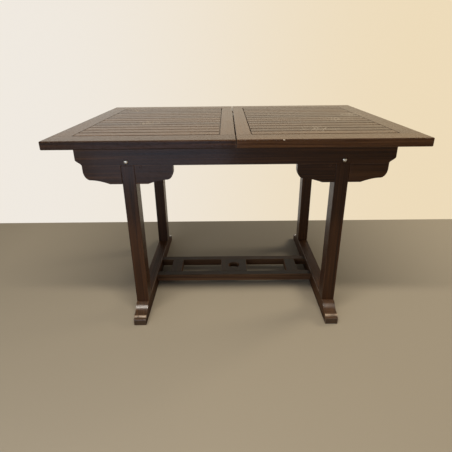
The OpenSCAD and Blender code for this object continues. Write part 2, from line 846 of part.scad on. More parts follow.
// The right long rail of the leaf, which lies at the front while the leaf is stored
module leaf_long_rail() {
    difference() {
        union() {
            translate([-field_y, -leaf_w / 2, leaf_z]) bar_x([2 * field_y, mid_rail_w, top_t]);
            leaf_tenons();
        }
        translate([-field_y, -long_rail_y - tongue_d - glue_gap, leaf_tongue_z - glue_gap])
            cube([2 * field_y, tongue_d + glue_gap + eps, tongue_t + 2 * glue_gap]);
        leaf_dowel_pair(hole_gap);
        for (x = [dowel_y1, -dowel_y2]) translate([x, -leaf_w / 2 - eps, leaf_z + top_t / 2])
            rotate([-90, 0, 0]) cylinder(d = dowel_d + 2 * side_gap, h = dowel_out + 2 * side_gap + eps);
    }
}

// The tenons of the front long rail of the leaf
module leaf_tenons(gap = 0) {
    w = mid_rail_w - 2 * rail_shoulder + 2 * gap;
    translate([-field_y - rail_tenon - gap, -(leaf_w - mid_rail_w) / 2 - w / 2, leaf_z + rail_tenon_z - gap])
        cube([2 * (field_y + rail_tenon + gap), w, rail_tenon_t + 2 * gap]);
}

// The two dowels in the front long rail of the leaf
module leaf_dowel_pair(gap = 0) {
    for (x = [-dowel_y1, dowel_y2]) translate([x, -leaf_w / 2 - dowel_out - gap, leaf_z + top_t / 2])
        rotate([-90, 0, 0]) cylinder(d = dowel_d + 2 * gap, h = dowel_l + 2 * gap);
}

// A board across the leaf from x over a width w, with a tongue at both ends
module leaf_board(x, w) {
    board_l = 2 * (long_rail_y - slat_end_gap);
    translate([x, -board_l / 2, leaf_slat_z]) bar_y([w, board_l, slat_t], slat_c);
    translate([x, -long_rail_y - tongue_d, leaf_tongue_z]) cube([w, 2 * (long_rail_y + tongue_d), tongue_t]);
}

module foot_bar_left() { foot_bar(-1); }
module foot_bar_right() { foot_bar(1); }
module leg_front_left() { front_leg(-1); }
module leg_front_right() { front_leg(1); }
module leg_rear_left() { mirror([0, 1, 0]) front_leg(-1); }
module leg_rear_right() { mirror([0, 1, 0]) front_leg(1); }
module cross_bearer_left() { cross_bearer(-1); }
module cross_bearer_right() { cross_bearer(1); }
module apron_front() { front_apron(); }
module apron_rear() { mirror([0, 1, 0]) front_apron(); }
module bracket_front_left() { front_bracket(-1); }
module bracket_front_right() { front_bracket(1); }
module bracket_rear_left() { mirror([0, 1, 0]) front_bracket(-1); }
module bracket_rear_right() { mirror([0, 1, 0]) front_bracket(1); }
module stretcher_rail_front() { front_stretcher_rail(); }
module stretcher_rail_rear() { mirror([0, 1, 0]) front_stretcher_rail(); }
module stretcher_cross_left() { color(stain) cross_piece(-cross_x, cross_w, stretcher_t); }
module stretcher_cross_right() { color(stain) cross_piece(cross_x, cross_w, stretcher_t); }
module stretcher_hole_board() {
    color(stain) difference() {
        cross_piece(0, centre_w, hole_board_t);
        translate([0, 0, stretcher_top - hole_board_t - eps])
            cylinder(d = parasol_d, h = hole_board_t + 2 * eps);
    }
}
module slide_ledges() {
    color(inner_wood) difference() {
        both_y() front_ledge();
        both_y() guide_screws(hole_gap);
        both_turns() {
            pegs(hole_gap);
            button_screw(hole_gap);
        }
    }
}
module slide_guides() { color(inner_wood) both_y() front_guide(); }
module slide_splines() { color(inner_wood) both_y() front_splines(); }
module stop_pegs() { color(inner_wood) both_turns() pegs(); }
module leaf_cleats() {
    cleat_y = leaf_w / 2 + side_gap;
    color(inner_wood) both_x() both_y() translate([leg_x - leg_w / 2, cleat_y, ledge_z])
        cube([leg_w, cleat_w, cleat_h]);
}
module corner_blocks() { color(inner_wood) both_x() both_y() corner_block(); }
module bracket_dowels() { color(inner_wood) both_x() both_y() bracket_pins(); }
module bracket_plugs() { color(stain) both_x() both_y() plug(); }
module frame_screws() {
    color(zinc) {
        both_x() both_y() plug_screw();
        both_y() guide_screws();
    }
}
module frame_bolts() {
    color(zinc) both_x() both_y() {
        translate([bolt_x, -face_y, bolt_z]) rotate([-90, 0, 0]) bolt();
        translate([foot_out, -stretcher_bolt_y, stretcher_bolt_z]) rotate([0, -90, 0]) bolt();
    }
}
module barrel_nuts() {
    color(zinc) both_x() both_y() {
        difference() {
            translate([bolt_x, -face_y + nut_depth, bolt_z - nut_l / 2]) cylinder(d = nut_d, h = nut_l);
            bolt_bore();
        }
        difference() {
            translate([foot_out - nut_depth, -stretcher_bolt_y, stretcher_bolt_z - nut_l / 2])
                cylinder(d = nut_d, h = nut_l);
            stretcher_bore();
        }
    }
}
module button_screws() { color(brass) both_turns() button_screw(); }

module right_end_rail() { end_rail(); }
module right_side_rail_front() { side_rail(); }
module right_side_rail_rear() { mirror([0, 1, 0]) side_rail(); }
module right_mid_rail() { mid_rail(); }
module right_slats() { slats(); }
module right_batten() { batten(); }
module right_runners() { runners(); }
module right_screws() {
    color(zinc) {
        batten_screw_set();
        runner_screws();
    }
}
module right_dowels() { color(inner_wood) seam_dowels(); }
module hook_catches() {
    color(brass) for (y = [-hook_y, hook_y]) translate([hook_x, y, 0]) stud(false);
}
module left_end_rail() { rotate([0, 0, 180]) end_rail(); }
module left_side_rail_front() { mirror([1, 0, 0]) side_rail(); }
module left_side_rail_rear() { rotate([0, 0, 180]) side_rail(); }
module left_mid_rail() { rotate([0, 0, 180]) mid_rail(); }
module left_slats() { rotate([0, 0, 180]) slats(); }
module left_batten() { rotate([0, 0, 180]) batten(); }
module left_runners() { rotate([0, 0, 180]) runners(); }
module left_screws() { rotate([0, 0, 180]) right_screws(); }
module left_dowels() { rotate([0, 0, 180]) right_dowels(); }
module hook_pivots() {
    color(brass) for (y = [-hook_y, hook_y]) translate([-hook_x, y, 0]) stud(true);
}

module leaf_long_rails() { color(top_stain) both_turns() leaf_long_rail(); }
module leaf_end_rails() {
    color(top_stain) both_x() difference() {
        translate([field_y, -leaf_w / 2, leaf_z]) bar_all([side_rail_w, leaf_w, top_t]);
        both_y() leaf_tenons(glue_gap);
    }
}
module leaf_slats() {
    color(top_stain) for (i = [0:slat_count - 1]) if (abs(slat_middle(i)) > board_places * slat_pitch / 2)
        leaf_board(slat_middle(i) - slat_w / 2, slat_w);
}
module leaf_hole_board() {
    w = board_places * slat_pitch - slat_gap;
    color(top_stain) difference() {
        leaf_board(-w / 2, w);
        translate([0, 0, leaf_slat_z - eps]) cylinder(d = parasol_d, h = slat_t + 2 * eps);
    }
}
module leaf_dowels() { color(inner_wood) both_turns() leaf_dowel_pair(); }
module leaf_button_right() { turn_button(); }
module leaf_button_left() { rotate([0, 0, 180]) turn_button(); }
module seam_hook_front() {
    color(brass) translate([-hook_x, -hook_y, hook_z]) rotate([0, 0, 90]) hook_blank();
}
module seam_hook_rear() { mirror([0, 1, 0]) seam_hook_front(); }

foot_bar_left();
foot_bar_right();
leg_front_left();
leg_front_right();
leg_rear_left();
leg_rear_right();
cross_bearer_left();
cross_bearer_right();
apron_front();
apron_rear();
bracket_front_left();
bracket_front_right();
bracket_rear_left();
bracket_rear_right();
stretcher_rail_front();
stretcher_rail_rear();
stretcher_hole_board();
stretcher_cross_left();
stretcher_cross_right();
slide_ledges();
slide_guides();
slide_splines();
stop_pegs();
leaf_cleats();
corner_blocks();
bracket_dowels();
bracket_plugs();
frame_screws();
frame_bolts();
barrel_nuts();
button_screws();
left_end_rail();
left_side_rail_front();
left_side_rail_rear();
left_mid_rail();
left_slats();
left_batten();
left_runners();
left_screws();
left_dowels();
hook_pivots();
right_end_rail();
right_side_rail_front();
right_side_rail_rear();
right_mid_rail();
right_slats();
right_batten();
right_runners();
right_screws();
right_dowels();
hook_catches();
leaf_long_rails();
leaf_end_rails();
leaf_slats();
leaf_hole_board();
leaf_dowels();
leaf_button_left();
leaf_button_right();
seam_hook_front();
seam_hook_rear();
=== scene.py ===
"""Dresses the extendable garden table: its boards, metal fittings, finishes, studio and camera.

Lengths are in metres, in the table's own frame: X along the table, Y from its front to its rear, Z up.
"""

import logging
import math
import random
from collections.abc import Iterable, Mapping, Sequence
from dataclasses import dataclass
from enum import Enum
from functools import cache

import bmesh
import bpy
import numpy as np
from mathutils import Matrix, Vector


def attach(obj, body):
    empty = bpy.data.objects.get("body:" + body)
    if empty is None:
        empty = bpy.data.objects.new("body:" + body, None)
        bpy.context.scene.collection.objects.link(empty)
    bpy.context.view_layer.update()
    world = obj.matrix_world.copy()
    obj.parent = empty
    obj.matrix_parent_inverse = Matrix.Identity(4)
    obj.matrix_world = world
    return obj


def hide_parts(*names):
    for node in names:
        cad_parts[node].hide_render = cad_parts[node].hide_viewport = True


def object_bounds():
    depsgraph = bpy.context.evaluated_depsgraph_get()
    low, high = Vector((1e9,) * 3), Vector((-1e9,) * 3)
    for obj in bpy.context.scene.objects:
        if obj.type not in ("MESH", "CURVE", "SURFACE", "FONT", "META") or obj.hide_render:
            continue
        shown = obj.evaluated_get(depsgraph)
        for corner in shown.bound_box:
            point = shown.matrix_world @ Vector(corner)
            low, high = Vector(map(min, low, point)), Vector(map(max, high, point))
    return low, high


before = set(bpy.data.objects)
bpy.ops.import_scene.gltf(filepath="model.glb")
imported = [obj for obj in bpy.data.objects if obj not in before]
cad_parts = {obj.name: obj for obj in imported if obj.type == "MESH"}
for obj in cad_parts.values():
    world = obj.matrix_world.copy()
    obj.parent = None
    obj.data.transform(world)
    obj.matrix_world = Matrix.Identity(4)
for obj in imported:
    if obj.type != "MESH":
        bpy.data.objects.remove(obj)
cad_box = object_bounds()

log = logging.getLogger("garden_table")

MM = 0.001

# Points of a CAD mesh that are closer than this are one point
WELD = 2e-6
# Triangles that meet at less than this angle are one flat face
FLAT = math.radians(0.4)
# Edges that turn by more than this are rounded
SHARP = math.radians(28)

Colour = tuple[float, float, float]
# What the socket of a shader node takes
Term = "Link | float | tuple[float, ...]"


class Side(Enum):
    """The two ends of the table."""

    LEFT = "left"
    RIGHT = "right"


class Lie(Enum):
    """The axis that the grain of a board runs along. LONGEST is the axis of its longest side."""

    ALONG_X = 0
    ALONG_Z = 2
    LONGEST = 3


class Recess(Enum):
    """What a driver grips in the head of a fastener."""

    SLOT = "slot"
    CROSS = "cross"
    HEX = "hex"


class Link:
    """An output of a shader node. Arithmetic on it adds the nodes that work it out.

    Numbers go through Math nodes, vectors through Vector Math nodes and colours through Mix nodes.
    """

    def __init__(self, shader: "Shader", socket: bpy.types.NodeSocket) -> None:
        """Keeps the socket and the shader that it belongs to."""
        self.shader = shader
        self.socket = socket

    def _join(self, operation: str, first: Term, second: Term) -> "Link":
        """Adds the node that joins two terms.

        Args:
            operation: a name that Math, Vector Math and Mix nodes share, such as MULTIPLY.
            first: the term before the operator.
            second: the term after the operator.

        Returns:
            The joined value.
        """
        kinds = {term.socket.type for term in (first, second) if isinstance(term, Link)}
        if "RGBA" in kinds:
            settings = {"data_type": "RGBA", "blend_type": operation}
            terms = {"Factor": 1.0, "A": first, "B": second}
            return self.shader.add("ShaderNodeMix", settings, terms, "Result")
        kind = "ShaderNodeVectorMath" if "VECTOR" in kinds else "ShaderNodeMath"
        return self.shader.add(kind, {"operation": operation}, {0: first, 1: second})

    def __add__(self, other: Term) -> "Link":
        """self + other."""
        return self._join("ADD", self, other)

    def __radd__(self, other: Term) -> "Link":
        """other + self."""
        return self._join("ADD", other, self)

    def __sub__(self, other: Term) -> "Link":
        """self - other."""
        return self._join("SUBTRACT", self, other)

    def __rsub__(self, other: Term) -> "Link":
        """other - self."""
        return self._join("SUBTRACT", other, self)

    def __mul__(self, other: Term) -> "Link":
        """self * other."""
        return self._join("MULTIPLY", self, other)

    def __rmul__(self, other: Term) -> "Link":
        """other * self."""
        return self._join("MULTIPLY", other, self)

    def do(self, operation: str, *terms: Term) -> "Link":
        """Adds a Math node of that operation, with this number first."""
        numbered = dict(enumerate((self, *terms)))
        return self.shader.add("ShaderNodeMath", {"operation": operation}, numbered)

    def smooth(self, low: float, high: float) -> "Link":
        """A soft step of this number, from 0 at low to 1 at high."""
        terms = {"Value": self, "From Min": low, "From Max": high}
        return self.shader.add("ShaderNodeMapRange", {"interpolation_type": "SMOOTHSTEP"}, terms, "Result")

    def parts(self) -> tuple["Link", ...]:
        """The three numbers of this vector."""
        node = self.shader.place("ShaderNodeSeparateXYZ", {}, {0: self})
        return tuple(Link(self.shader, output) for output in node.outputs)


class Shader:
    """The nodes of a material or of the world, and the means to add to them."""

    def __init__(self, holder: bpy.types.Material | bpy.types.World) -> None:
        """Clears the nodes.

        Args:
            holder: what has the nodes.
        """
        holder.use_nodes = True
        self.tree = holder.node_tree
        self.tree.nodes.clear()

    def place(
        self,
        kind: str,
        settings: Mapping[str, object] | None = None,
        terms: Mapping[int | str, Term] | None = None,
    ) -> bpy.types.Node:
        """Adds a node.

        Args:
            kind: the node's type.
            settings: its properties, which are set first; stops are those of a colour ramp.
            terms: the value or link of each socket, by the socket's name or number.

        Returns:
            The node.
        """
        node = self.tree.nodes.new(kind)
        for key, value in (settings or {}).items():
            if key == "stops":
                self._set_stops(node.color_ramp.elements, value)
            else:
                setattr(node, key, value)
        for key, term in (terms or {}).items():
            self._feed(self._socket(node.inputs, key), term)
        return node

    def add(
        self,
        kind: str,
        settings: Mapping[str, object] | None = None,
        terms: Mapping[int | str, Term] | None = None,
        output: int | str = 0,
    ) -> Link:
        """Adds a node and gives the output of it that is wanted.

        Args:
            kind: the node's type.
            settings: its properties.
            terms: the value or link of each socket.
            output: the name or number of the output.

        Returns:
            That output.
        """
        return Link(self, self._socket(self.place(kind, settings, terms).outputs, output))

    @staticmethod
    def _set_stops(elements: bpy.types.ColorRampElements, stops: Sequence[tuple[float, Colour]]) -> None:
        """Gives a colour ramp its stops.

        Args:
            elements: the ramp's own elements, of which there are two.
            stops: the place and the colour of each stop, in order.
        """
        while len(elements) < len(stops):
            elements.new(1.0)
        for element, (place, colour) in zip(elements, stops):
            element.position = place
            element.color = (*colour, 1.0)

    @staticmethod
    def _socket(sockets: Iterable[bpy.types.NodeSocket], key: int | str) -> bpy.types.NodeSocket:
        """The socket in use with that name or number.

        Args:
            sockets: the inputs or the outputs of a node.
            key: the socket's name, or its number among those in use.

        Returns:
            The socket.
        """
        used = [socket for socket in sockets if socket.enabled]
        return used[key] if isinstance(key, int) else next(s for s in used if s.name == key)

    def _feed(self, socket: bpy.types.NodeSocket, term: Term) -> None:
        """Links a term to a socket, or sets the socket to it.

        Args:
            socket: the input to feed.
            term: a link, a number, a colour or a vector.
        """
        if isinstance(term, Link):
            self.tree.links.new(term.socket, socket)
            return
        if socket.type in ("RGBA", "VECTOR") and not isinstance(term, Sequence):
            term = (term,) * 3
        socket.default_value = (*term, 1.0) if socket.type == "RGBA" else term

    def attribute(self, name: str, output: str = "Fac") -> Link:
        """What the mesh holds under that name."""
        return self.add("ShaderNodeAttribute", {"attribute_name": name}, output=output)

    def vector(self, x: Term, y: Term, z: Term) -> Link:
        """The vector of three numbers."""
        return self.add("ShaderNodeCombineXYZ", {}, {0: x, 1: y, 2: z})

    def mix(self, first: Term, second: Term, share: Term) -> Link:
        """A colour between first and second, by the share of the second."""
        terms = {"Factor": share, "A": first, "B": second}
        return self.add("ShaderNodeMix", {"data_type": "RGBA"}, terms, "Result")

    def ramp(self, share: Link, stops: Sequence[tuple[float, Colour]]) -> Link:
        """The colour at share along the stops."""
        return self.add("ShaderNodeValToRGB", {"stops": stops}, {"Fac": share})

    def bump(self, height: Link, depth: float) -> Link:
        """Normals for a relief.

        Args:
            height: from 0 to 1 over the surface.
            depth: what 1 stands for, in metres.

        Returns:
            The normals.
        """
        return self.add("ShaderNodeBump", {}, {"Height": height, "Distance": depth, "Strength": 1.0})

    def surface(self, **terms: Term) -> None:
        """Closes a material with a Principled shader.

        Args:
            terms: its sockets, with _ for the space in their names.
        """
        named = {key.replace("_", " "): term for key, term in terms.items()}
        principled = self.add("ShaderNodeBsdfPrincipled", {}, named)
        self.place("ShaderNodeOutputMaterial", {}, {"Surface": principled})

    @staticmethod
    def around_half(*parts: tuple[Link, float]) -> Link:
        """The weighted sum of values that vary around one half, shifted so that it does too.

        Args:
            parts: each value with its weight.

        Returns:
            The sum.
        """
        total: Link | float = 0.5 - sum(weight for _, weight in parts) / 2
        for value, weight in parts:
            total = value * weight + total
        return total


@dataclass(frozen=True)
class Layer:
    """A layer of noise. Its stretch is how many blobs there are to a metre in each direction."""

    stretch: tuple[float, float, float]
    # How many finer layers it holds, and how strong they are
    detail: float = 2.0
    strength: float = 0.5

    def at(self, place: Link) -> Link:
        """The noise at a place in metres, between 0 and 1."""
        terms = {"Vector": place * self.stretch, "Detail": self.detail, "Roughness": self.strength}
        return place.shader.add("ShaderNodeTexNoise", {}, {"Scale": 1.0, **terms})


# What the grain of a board is made of. The first number of each stretch is along the board
RING_SWAY = Layer((1.4, 9.0, 9.0))
RINGS = Layer((0.5, 210.0, 9.0), 3.0, 0.6)
RIBBONS = Layer((0.9, 26.0, 26.0))
STREAKS = Layer((3.5, 190.0, 190.0), 3.0, 0.62)
FIBRES = Layer((30.0, 1500.0, 1500.0), 1.0)
PORES = Layer((110.0, 2600.0, 2600.0), 0.0)
BLOTCHES = Layer((3.0, 14.0, 14.0), 3.0)
# What breaks up worn edges, scuffs, and the dust with painted light on what faces up
WEAR_PATCHES = Layer((14.0, 40.0, 40.0), 3.0, 0.6)
SCUFF_SPECKLE = Layer((150.0, 105.0, 105.0), 3.0, 0.7)
DUST_AND_LIGHT_CLOUD = Layer((7.0, 7.0, 7.0), 3.0, 0.6)
# What varies on metal
METAL_PATCHES = Layer((160.0, 160.0, 160.0), 3.0, 0.6)
METAL_SCRATCHES = Layer((300.0, 2600.0, 2600.0))

# How far the growth rings sway, and the depth of the relief of wood and of metal
SWAY_REACH = 26 * MM
WOOD_RELIEF = 0.22 * MM
METAL_RELIEF = 0.02 * MM
# How far from an edge wear is full and where it ends, and how ragged that limit is
WEAR_FULL = 0.2 * MM
WEAR_END = 2.6 * MM
WEAR_RAGGED = 3.0 * MM

# Where the dark, the middle and the light stain lie along the shade of the grain
STAIN_STOPS = (0.28, 0.5, 0.74)
# The values of a noise at which what it makes begins to show, and shows in full
PORE_LEVELS = (0.62, 0.74)
WEAR_LEVELS = (0.34, 0.66)
NOSE_LEVELS = (0.25, 0.6)
SCUFF_LEVELS = (0.62, 0.69)
DULL_LEVELS = (0.45, 0.72)
# How far up a normal points where the dust and painted light, and where a scuff, begins and is full
DUST_AND_LIGHT_FACING = (0.75, 0.98)
SCUFF_FACING = (-0.4, 0.0)
# How far a normal points to the left or right where the polish begins to fade and where it ends
SIDE_FACING = (0.3, 0.8)
# Polish is full up to this share of its reach
POLISH_FULL = 0.8
# A scuff fades where the nearness of its middle, from 0 to 1, is under this
SCUFF_RIM = 0.2
# The lengths over which the worn nose of a foot bar, painted also as its highlight, fades in and out
NOSE_IN = 2 * MM
NOSE_OUT = 3 * MM
# What the dust and painted light on what faces up is made of: a cloud, the tone of the board and an even
# part
DUST_AND_LIGHT_CLOUDY = 0.7
DUST_AND_LIGHT_TONED = 0.5
DUST_AND_LIGHT_EVEN = 0.4


@dataclass(frozen=True)
class Mark:
    """A place where the stain is scuffed through. More cover leaves less stain between the speckles."""

    place: tuple[float, float, float]
    reach: float
    cover: float = 0.1


@dataclass(frozen=True)
class WoodFinish:
    """A stained and varnished hardwood, with growth bands, streaks, pores and worn edges.

    The grain attribute gives each board its own place in the log, with X along the grain and the pith at
    Y = Z = 0. The middle attribute is a point's place from the middle of its board, and the half attribute
    is half the board's size.
    """

    name: str
    slot: str
    dark: Colour
    mid: Colour
    light: Colour
    worn: Colour
    wear: float = 0.5
    variety: float = 0.16
    roughness: float = 0.42
    reflection: float = 0.20
    varnish: float = 0.10
    coat_roughness: float = 0.15
    # How much light pores, fibres and end faces lose
    pore_shade: float = 0.45
    fibre_shade: float = 0.24
    end_shade: float = 0.35
    # How much the streaks change the roughness, and how much wear, the dust and painted light, scuffs and
    # polish do
    streak_roughness: float = 0.12
    worn_roughness: float = 0.1
    dust_and_light_roughness: float = 0.1
    scuff_roughness: float = 0.3
    polish_smoothness: float = 0.30
    # How far from its ends shoes have polished a board, and where they have worn it through, a band that
    # is also a painted highlight
    polished: float = 0.0
    worn_highlight_from: float = 0.0
    worn_highlight_to: float = 0.0
    # How much of the worn colour is painted where it is worn through, and where it is polished: bare wood,
    # and also a painted highlight
    nose_wear_and_highlight: float = 0.8
    polish_wear_and_highlight: float = 0.05
    marks: tuple[Mark, ...] = ()
    bare: Colour = (0.40, 0.33, 0.25)
    # The colour and share of the film on what faces up: dust, and also painted sheen or painted shade
    dust_and_painted_light: Colour = (0.30, 0.25, 0.19)
    dust_and_painted_light_share: float = 0.0

    def material(self) -> bpy.types.Material:
        """Builds the material.

        Returns:
            The material.
        """
        made = bpy.data.materials.new(self.name)
        s = Shader(made)
        grain = s.attribute("grain", "Vector")
        tone = s.attribute("tone")
        along, across, through = grain.parts()

        sway = (RING_SWAY.at(grain) - 0.5) * SWAY_REACH
        depth = (across * across + through * through).do("SQRT") + sway
        bands = RINGS.at(s.vector(along, depth, tone))
        ribbons = RIBBONS.at(grain)
        streaks = STREAKS.at(grain)
        fibres = FIBRES.at(grain)
        pores = PORES.at(grain).smooth(*PORE_LEVELS)
        blotches = BLOTCHES.at(grain)

        shade = s.around_half(
            (bands, 0.75), (streaks, 0.55), (ribbons, 0.35), (blotches, 0.30), (tone, self.variety)
        )
        colour = s.ramp(shade, tuple(zip(STAIN_STOPS, (self.dark, self.mid, self.light))))
        colour = colour * (1.0 - pores * self.pore_shade)
        colour = colour * (1.0 - self.fibre_shade / 2 + fibres * self.fibre_shade)
        colour = colour * (1.0 - s.attribute("end") * self.end_shade)

        inset = self._inset(s)
        patches = WEAR_PATCHES.at(grain)
        reach = self._edge(*inset) + (patches - 0.5) * WEAR_RAGGED
        rub = (1.0 - reach.smooth(WEAR_FULL, WEAR_END)) * patches.smooth(*WEAR_LEVELS)
        colour = s.mix(colour, self.worn, rub * self.wear)
        rough = self.roughness - self.streak_roughness / 2 + streaks * self.streak_roughness
        rough = rough + rub * self.worn_roughness
        # Dust on what faces up, also painted light: a lighter film is painted sheen, a darker one painted
        # shade
        if self.dust_and_painted_light_share:
            dust_and_painted_light = self._dust_and_painted_light(s, tone) * self.dust_and_painted_light_share
            colour = s.mix(colour, self.dust_and_painted_light, dust_and_painted_light)
            rough = rough + dust_and_painted_light * self.dust_and_light_roughness
        if self.marks:
            scuffed = self._scuffed(s)
            colour = s.mix(colour, self.bare, scuffed)
            rough = rough + scuffed * self.scuff_roughness

        varnish: Term = self.varnish
        if self.polished:
            shine, nose = self._polish(s, inset[0], patches)
            # The pale worn colour where the ends are worn through and polished is partly bare wood and
            # partly a painted highlight on the bead and toe
            colour = s.mix(colour, self.worn, nose * self.nose_wear_and_highlight + shine * self.polish_wear_and_highlight)
            varnish = shine * self.varnish
            rough = rough - shine * self.polish_smoothness
        relief = fibres * 0.30 + streaks * 0.35 - pores * 0.5 + bands * 0.2
        s.surface(
            Base_Color=colour,
            Roughness=rough,
            Specular_IOR_Level=self.reflection,
            Coat_Weight=varnish,
            Coat_Roughness=self.coat_roughness,
            Normal=s.bump(relief, WOOD_RELIEF),
        )
        return made

    def _polish(self, s: Shader, inset: Link, patches: Link) -> tuple[Link, Link]:
        """What shoes have done to the ends of a board, but not to its left and right faces, where the worn
        band also places a painted highlight.

        Args:
            s: the shader.
            inset: how far a point lies from the nearer end of the board.
            patches: the noise that breaks up wear.

        Returns:
            How polished the surface is and how far it is worn through, from 0 to 1; the worn-through band
            also places a painted highlight.
        """
        aside, _, _ = s.add("ShaderNodeTexCoord", {}, output="Normal").parts()
        shine = 1.0 - inset.smooth(self.polished * POLISH_FULL, self.polished)
        shine = shine * (1.0 - aside.do("ABSOLUTE").smooth(*SIDE_FACING))
        nose = inset.smooth(self.worn_highlight_from - NOSE_IN, self.worn_highlight_from)
        nose = nose * (1.0 - inset.smooth(self.worn_highlight_to - NOSE_OUT, self.worn_highlight_to)) * shine
        return shine, nose * patches.smooth(*NOSE_LEVELS)

    @staticmethod
    def _inset(s: Shader) -> tuple[Link, ...]:
        """How far a point lies inside its board's box.

        Args:
            s: the shader.

        Returns:
            The distances along the length, the width and the thickness.
        """
        middle = s.attribute("middle", "Vector")
        away = s.add("ShaderNodeVectorMath", {"operation": "ABSOLUTE"}, {0: middle})
        return (s.attribute("half", "Vector") - away).parts()

    @staticmethod
    def _edge(a: Link, b: Link, c: Link) -> Link:
        """The distance from a point of a board's surface to the board's nearest edge.

        Args:
            a: how far the point lies inside the board's box, along one side.
            b: the same along another.
            c: the same along the third.

        Returns:
            The distance in metres.
        """
        low = a.do("MINIMUM", b)
        high = a.do("MAXIMUM", b)
        return low.do("MAXIMUM", high.do("MINIMUM", c))

    def _scuffed(self, s: Shader) -> Link:
        """How scuffed the surface is, from 0 to 1.

        Args:
            s: the shader.

        Returns:
            The share of bared wood.
        """
        place = s.add("ShaderNodeTexCoord", {}, output="Object")
        _, _, up = s.add("ShaderNodeTexCoord", {}, output="Normal").parts()
        speckle = SCUFF_SPECKLE.at(place)
        total: Link | float = 0.0
        for mark in self.marks:
            ends = {0: place, 1: mark.place}
            away = s.add("ShaderNodeVectorMath", {"operation": "DISTANCE"}, ends, "Value")
            near = 1.0 - away.smooth(0.0, mark.reach)
            bared = (speckle + near * mark.cover).smooth(*SCUFF_LEVELS)
            total = bared * near.smooth(0.0, SCUFF_RIM) + total
        return total * up.smooth(*SCUFF_FACING)

    @staticmethod
    def _dust_and_painted_light(s: Shader, tone: Link) -> Link:
        """The thin film of weather and dust on what faces up, which is also painted light: painted sheen
        where it is lighter than the wood, painted shade where it is darker, and the edges it leaves bare
        read darker as painted shade.

        Args:
            s: the shader.
            tone: the board's own tone, from 0 to 1.

        Returns:
            Around 1 where the dust and painted light lie and 0 elsewhere.
        """
        place = s.add("ShaderNodeTexCoord", {}, output="Object")
        _, _, up = s.add("ShaderNodeTexCoord", {}, output="Normal").parts()
        dust_and_painted_light = DUST_AND_LIGHT_CLOUD.at(place) * DUST_AND_LIGHT_CLOUDY + tone * DUST_AND_LIGHT_TONED + DUST_AND_LIGHT_EVEN
        return up.smooth(*DUST_AND_LIGHT_FACING) * dust_and_painted_light


@dataclass(frozen=True)
class MetalFinish:
    """A plated or bare metal with fine scratches and dull patches."""

    name: str
    slot: str
    colour: Colour
    dull: Colour
    roughness: float
    # How dull the patches are, and how much patches and scratches roughen the metal
    dulled: float = 0.55
    patch_roughness: float = 0.16
    scratch_roughness: float = 0.08

    def material(self) -> bpy.types.Material:
        """Builds the material.

        Returns:
            The material.
        """
        made = bpy.data.materials.new(self.name)
        s = Shader(made)
        place = s.add("ShaderNodeTexCoord", {}, output="Object")
        patches = METAL_PATCHES.at(place)
        scratches = METAL_SCRATCHES.at(place)
        rough = self.roughness + patches * self.patch_roughness + scratches * self.scratch_roughness
        s.surface(
            Base_Color=s.mix(self.colour, self.dull, patches.smooth(*DULL_LEVELS) * self.dulled),
            Metallic=1.0,
            Roughness=rough,
            Normal=s.bump(scratches, METAL_RELIEF),
        )
        return made


# The height of the top, and the scuffs on it with the small chip on its front edge
TOP_Z = cad_box[1][2]
SCUFFS = (
    Mark((-0.45, 0.29, TOP_Z), 0.07, 0.14),
    Mark((0.50, 0.10, TOP_Z), 0.09, 0.17),
    Mark((0.42, -0.04, TOP_Z), 0.09, 0.12),
    Mark((-0.335, -0.10, TOP_Z), 0.08, 0.13),
    Mark((0.29, -0.26, TOP_Z), 0.09, 0.085),
    Mark((0.145, -0.45, TOP_Z), 0.006, 0.3),
)

FRAME_WOOD = WoodFinish(
    name="dark_red_stain",
    slot="stained_frame",
    dark=(0.016, 0.0060, 0.0022),
    mid=(0.037, 0.0140, 0.0048),
    light=(0.078, 0.0310, 0.0100),
    worn=(0.19, 0.095, 0.05),
    reflection=0.16,
)
FOOT_WOOD = WoodFinish(
    name="worn_foot_stain",
    slot="stained_frame",
    dark=(0.016, 0.0062, 0.0022),
    mid=(0.036, 0.0140, 0.0050),
    light=(0.078, 0.0320, 0.0110),
    # Pale, since it also paints the highlight along the bead and the polished toe
    worn=(0.50, 0.37, 0.25),
    wear=0.6,
    roughness=0.55,
    reflection=0.10,
    varnish=0.47,
    polished=0.085,
    worn_highlight_from=13 * MM,
    worn_highlight_to=20 * MM,
)
LOW_WOOD = WoodFinish(
    name="dulled_red_stain",
    slot="stained_frame",
    dark=(0.044, 0.0205, 0.0092),
    mid=(0.100, 0.0480, 0.0205),
    light=(0.175, 0.0880, 0.0400),
    worn=(0.26, 0.155, 0.085),
    variety=0.10,
    roughness=0.62,
    reflection=0.14,
    varnish=0.0,
    # A dark film on what faces up: partly dust, partly painted shade on the tops of the rails under the
    # table
    dust_and_painted_light=(0.046, 0.041, 0.034),
    dust_and_painted_light_share=0.70,
)
TOP_WOOD = WoodFinish(
    name="weathered_dark_stain",
    slot="stained_top",
    dark=(0.017, 0.0075, 0.0035),
    mid=(0.041, 0.0176, 0.0076),
    light=(0.084, 0.0390, 0.0170),
    worn=(0.26, 0.165, 0.10),
    wear=0.35,
    variety=0.30,
    roughness=0.18,
    reflection=0.07,
    varnish=0.05,
    marks=SCUFFS,
    # A pale warm film on what faces up: partly weathering and dust, partly painted sheen; the slat edges
    # and gaps it leaves bare read darker as painted shade
    dust_and_painted_light=(0.21, 0.122, 0.054),
    dust_and_painted_light_share=0.42,
)
INNER_WOOD = WoodFinish(
    name="thin_inner_stain",
    slot="inner_wood",
    dark=(0.040, 0.020, 0.011),
    mid=(0.090, 0.046, 0.025),
    light=(0.155, 0.085, 0.048),
    worn=(0.26, 0.16, 0.09),
    wear=0.25,
    variety=0.3,
    roughness=0.62,
    varnish=0.0,
)
